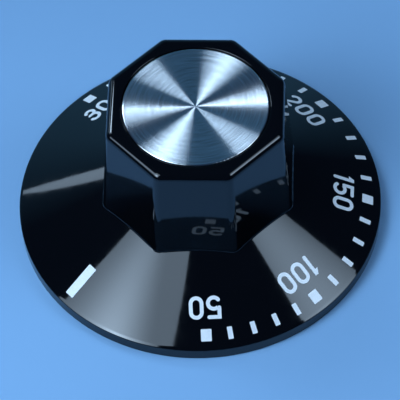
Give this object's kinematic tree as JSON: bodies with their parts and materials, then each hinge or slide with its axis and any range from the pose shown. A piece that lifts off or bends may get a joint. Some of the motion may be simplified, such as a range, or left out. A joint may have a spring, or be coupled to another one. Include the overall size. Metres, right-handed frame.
{
  "type": "stove knob",
  "caption": "Push-on oven control knob: gloss black octagonal grip on a conical dial skirt with a white printed scale, a turned metal disc in its top and a split hub for a D shaft.",
  "frame": {"origin": "on the shaft axis, in the plane that the rim stands on", "axes": "+Z along the shaft axis from the panel to the top of the grip, -Y to the grip flat that faces the viewer in the picture"},
  "size_m": [0.07, 0.07, 0.0322],
  "materials": {
    "body_plastic": "black, moulded high gloss",
    "disc_metal": "turned, fine concentric lines, bright edge",
    "spring_steel": "plain rolled spring strip",
    "scale_ink": "white pad-printed ink"
  },
  "bodies": {
    "root": {"knob_body": "body_plastic", "trim_disc": "disc_metal", "hub_spring": "spring_steel"}
  },
  "joints": []
}
